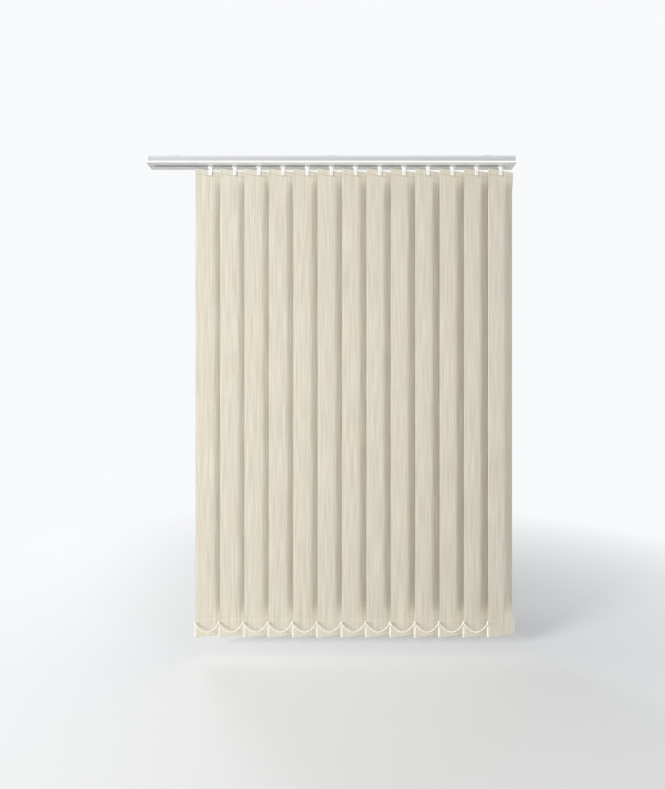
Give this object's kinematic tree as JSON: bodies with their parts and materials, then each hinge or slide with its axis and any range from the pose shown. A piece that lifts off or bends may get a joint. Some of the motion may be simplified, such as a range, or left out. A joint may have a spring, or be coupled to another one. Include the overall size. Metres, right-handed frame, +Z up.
{
  "type": "vertical blind",
  "caption": "Vertical blind: a head rail with sliding, turning cloth vanes, hem weights and bottom linking chains.",
  "frame": {"origin": "middle of the head rail, on the plane of the fixing holes where the brackets meet the ceiling or lintel", "axes": "+X along the head rail towards the side where the vanes stack, +Y away from the room towards the window, +Z up"},
  "size_m": [1.1393, 0.045, 1.4817],
  "materials": {
    "vane_fabric": "matte",
    "hanger_plastic": "satin",
    "weight_plastic": "satin",
    "carrier_plastic": "satin",
    "end_plastic": "satin",
    "rail_enamel": "satin",
    "rod_aluminium": "satin",
    "bracket_steel": "satin",
    "chain_plastic": "satin"
  },
  "bodies": {
    "root": {"head_rail": "rail_enamel", "control_end": "end_plastic", "idle_end": "end_plastic", "mounting_brackets": "bracket_steel", "carrier_13": "carrier_plastic"},
    "carriage_01": {"carrier_01": "carrier_plastic"},
    "carriage_02": {"carrier_02": "carrier_plastic"},
    "carriage_03": {"carrier_03": "carrier_plastic"},
    "carriage_04": {"carrier_04": "carrier_plastic"},
    "carriage_05": {"carrier_05": "carrier_plastic"},
    "carriage_06": {"carrier_06": "carrier_plastic"},
    "carriage_07": {"carrier_07": "carrier_plastic"},
    "carriage_08": {"carrier_08": "carrier_plastic"},
    "carriage_09": {"carrier_09": "carrier_plastic"},
    "carriage_10": {"carrier_10": "carrier_plastic"},
    "carriage_11": {"carrier_11": "carrier_plastic"},
    "carriage_12": {"carrier_12": "carrier_plastic"},
    "louvre_01": {"hanger_01": "hanger_plastic", "vane_01": "vane_fabric", "weight_01": "weight_plastic"},
    "louvre_02": {"hanger_02": "hanger_plastic", "vane_02": "vane_fabric", "weight_02": "weight_plastic"},
    "louvre_03": {"hanger_03": "hanger_plastic", "vane_03": "vane_fabric", "weight_03": "weight_plastic"},
    "louvre_04": {"hanger_04": "hanger_plastic", "vane_04": "vane_fabric", "weight_04": "weight_plastic"},
    "louvre_05": {"hanger_05": "hanger_plastic", "vane_05": "vane_fabric", "weight_05": "weight_plastic"},
    "louvre_06": {"hanger_06": "hanger_plastic", "vane_06": "vane_fabric", "weight_06": "weight_plastic"},
    "louvre_07": {"hanger_07": "hanger_plastic", "vane_07": "vane_fabric", "weight_07": "weight_plastic"},
    "louvre_08": {"hanger_08": "hanger_plastic", "vane_08": "vane_fabric", "weight_08": "weight_plastic"},
    "louvre_09": {"hanger_09": "hanger_plastic", "vane_09": "vane_fabric", "weight_09": "weight_plastic"},
    "louvre_10": {"hanger_10": "hanger_plastic", "vane_10": "vane_fabric", "weight_10": "weight_plastic"},
    "louvre_11": {"hanger_11": "hanger_plastic", "vane_11": "vane_fabric", "weight_11": "weight_plastic"},
    "louvre_12": {"hanger_12": "hanger_plastic", "vane_12": "vane_fabric", "weight_12": "weight_plastic"},
    "louvre_13": {"hanger_13": "hanger_plastic", "vane_13": "vane_fabric", "weight_13": "weight_plastic"},
    "rod": {"tilt_rod": "rod_aluminium"},
    "drive": {"chain_wheel": "carrier_plastic"},
    "chain_front": {"chain_front": "chain_plastic"},
    "chain_rear": {"chain_rear": "chain_plastic"}
  },
  "joints": [
    {"name": "draw_01", "type": "slide", "parent": "root", "child": "carriage_01", "axis": [1, 0, 0], "range_m": [0, 0.708], "deforming": ["chain_front", "chain_rear"]},
    {"name": "draw_02", "type": "slide", "parent": "root", "child": "carriage_02", "axis": [1, 0, 0], "range_m": [0, 0.649]},
    {"name": "draw_03", "type": "slide", "parent": "root", "child": "carriage_03", "axis": [1, 0, 0], "range_m": [0, 0.59]},
    {"name": "draw_04", "type": "slide", "parent": "root", "child": "carriage_04", "axis": [1, 0, 0], "range_m": [0, 0.531]},
    {"name": "draw_05", "type": "slide", "parent": "root", "child": "carriage_05", "axis": [1, 0, 0], "range_m": [0, 0.472]},
    {"name": "draw_06", "type": "slide", "parent": "root", "child": "carriage_06", "axis": [1, 0, 0], "range_m": [0, 0.413]},
    {"name": "draw_07", "type": "slide", "parent": "root", "child": "carriage_07", "axis": [1, 0, 0], "range_m": [0, 0.354]},
    {"name": "draw_08", "type": "slide", "parent": "root", "child": "carriage_08", "axis": [1, 0, 0], "range_m": [0, 0.295]},
    {"name": "draw_09", "type": "slide", "parent": "root", "child": "carriage_09", "axis": [1, 0, 0], "range_m": [0, 0.236]},
    {"name": "draw_10", "type": "slide", "parent": "root", "child": "carriage_10", "axis": [1, 0, 0], "range_m": [0, 0.177]},
    {"name": "draw_11", "type": "slide", "parent": "root", "child": "carriage_11", "axis": [1, 0, 0], "range_m": [0, 0.118]},
    {"name": "draw_12", "type": "slide", "parent": "root", "child": "carriage_12", "axis": [1, 0, 0], "range_m": [0, 0.059]},
    {"name": "tilt_01", "type": "hinge", "parent": "carriage_01", "child": "louvre_01", "pos_m": [-0.3753, 0, 0], "axis": [0, 0, 1], "range_deg": [0, 148]},
    {"name": "tilt_02", "type": "hinge", "parent": "carriage_02", "child": "louvre_02", "pos_m": [-0.3003, 0, 0], "axis": [0, 0, 1], "range_deg": [0, 148]},
    {"name": "tilt_03", "type": "hinge", "parent": "carriage_03", "child": "louvre_03", "pos_m": [-0.2253, 0, 0], "axis": [0, 0, 1], "range_deg": [0, 148]},
    {"name": "tilt_04", "type": "hinge", "parent": "carriage_04", "child": "louvre_04", "pos_m": [-0.1503, 0, 0], "axis": [0, 0, 1], "range_deg": [0, 148]},
    {"name": "tilt_05", "type": "hinge", "parent": "carriage_05", "child": "louvre_05", "pos_m": [-0.0753, 0, 0], "axis": [0, 0, 1], "range_deg": [0, 148]},
    {"name": "tilt_06", "type": "hinge", "parent": "carriage_06", "child": "louvre_06", "pos_m": [-0.0003, 0, 0], "axis": [0, 0, 1], "range_deg": [0, 148]},
    {"name": "tilt_07", "type": "hinge", "parent": "carriage_07", "child": "louvre_07", "pos_m": [0.0747, 0, 0], "axis": [0, 0, 1], "range_deg": [0, 148]},
    {"name": "tilt_08", "type": "hinge", "parent": "carriage_08", "child": "louvre_08", "pos_m": [0.1497, 0, 0], "axis": [0, 0, 1], "range_deg": [0, 148]},
    {"name": "tilt_09", "type": "hinge", "parent": "carriage_09", "child": "louvre_09", "pos_m": [0.2247, 0, 0], "axis": [0, 0, 1], "range_deg": [0, 148]},
    {"name": "tilt_10", "type": "hinge", "parent": "carriage_10", "child": "louvre_10", "pos_m": [0.2997, 0, 0], "axis": [0, 0, 1], "range_deg": [0, 148]},
    {"name": "tilt_11", "type": "hinge", "parent": "carriage_11", "child": "louvre_11", "pos_m": [0.3747, 0, 0], "axis": [0, 0, 1], "range_deg": [0, 148]},
    {"name": "tilt_12", "type": "hinge", "parent": "carriage_12", "child": "louvre_12", "pos_m": [0.4497, 0, 0], "axis": [0, 0, 1], "range_deg": [0, 148]},
    {"name": "tilt_13", "type": "hinge", "parent": "root", "child": "louvre_13", "pos_m": [0.5247, 0, 0], "axis": [0, 0, 1], "range_deg": [0, 148]},
    {"name": "rod_turn", "type": "hinge", "parent": "root", "child": "rod", "pos_m": [0, 0.0096, -0.0147], "axis": [1, 0, 0], "range_deg": [0, 888]},
    {"name": "drive_turn", "type": "hinge", "parent": "root", "child": "drive", "pos_m": [0.55, -0.00039, -0.0172], "axis": [1, 0, 0], "range_deg": [-592, 0]},
    {"name": "chain_front_swing", "type": "hinge", "parent": "louvre_01", "child": "chain_front", "pos_m": [-0.42106, -0.01312, -1.4317], "axis": [0, 0, 1], "range_deg": [-148, 0]},
    {"name": "chain_rear_swing", "type": "hinge", "parent": "louvre_01", "child": "chain_rear", "pos_m": [-0.32954, 0.01312, -1.4317], "axis": [0, 0, 1], "range_deg": [-148, 0]}
  ],
  "couplings": [
    {"joint": "draw_02", "follows": "draw_01", "ratio": 0.91667},
    {"joint": "draw_03", "follows": "draw_01", "ratio": 0.83333},
    {"joint": "draw_04", "follows": "draw_01", "ratio": 0.75},
    {"joint": "draw_05", "follows": "draw_01", "ratio": 0.66667},
    {"joint": "draw_06", "follows": "draw_01", "ratio": 0.58333},
    {"joint": "draw_07", "follows": "draw_01", "ratio": 0.5},
    {"joint": "draw_08", "follows": "draw_01", "ratio": 0.41667},
    {"joint": "draw_09", "follows": "draw_01", "ratio": 0.33333},
    {"joint": "draw_10", "follows": "draw_01", "ratio": 0.25},
    {"joint": "draw_11", "follows": "draw_01", "ratio": 0.16667},
    {"joint": "draw_12", "follows": "draw_01", "ratio": 0.083333},
    {"joint": "tilt_02", "follows": "tilt_01", "ratio": 1},
    {"joint": "tilt_03", "follows": "tilt_01", "ratio": 1},
    {"joint": "tilt_04", "follows": "tilt_01", "ratio": 1},
    {"joint": "tilt_05", "follows": "tilt_01", "ratio": 1},
    {"joint": "tilt_06", "follows": "tilt_01", "ratio": 1},
    {"joint": "tilt_07", "follows": "tilt_01", "ratio": 1},
    {"joint": "tilt_08", "follows": "tilt_01", "ratio": 1},
    {"joint": "tilt_09", "follows": "tilt_01", "ratio": 1},
    {"joint": "tilt_10", "follows": "tilt_01", "ratio": 1},
    {"joint": "tilt_11", "follows": "tilt_01", "ratio": 1},
    {"joint": "tilt_12", "follows": "tilt_01", "ratio": 1},
    {"joint": "tilt_13", "follows": "tilt_01", "ratio": 1},
    {"joint": "rod_turn", "follows": "tilt_01", "ratio": 6},
    {"joint": "drive_turn", "follows": "tilt_01", "ratio": -4},
    {"joint": "chain_front_swing", "follows": "tilt_01", "ratio": -1},
    {"joint": "chain_rear_swing", "follows": "tilt_01", "ratio": -1}
  ]
}
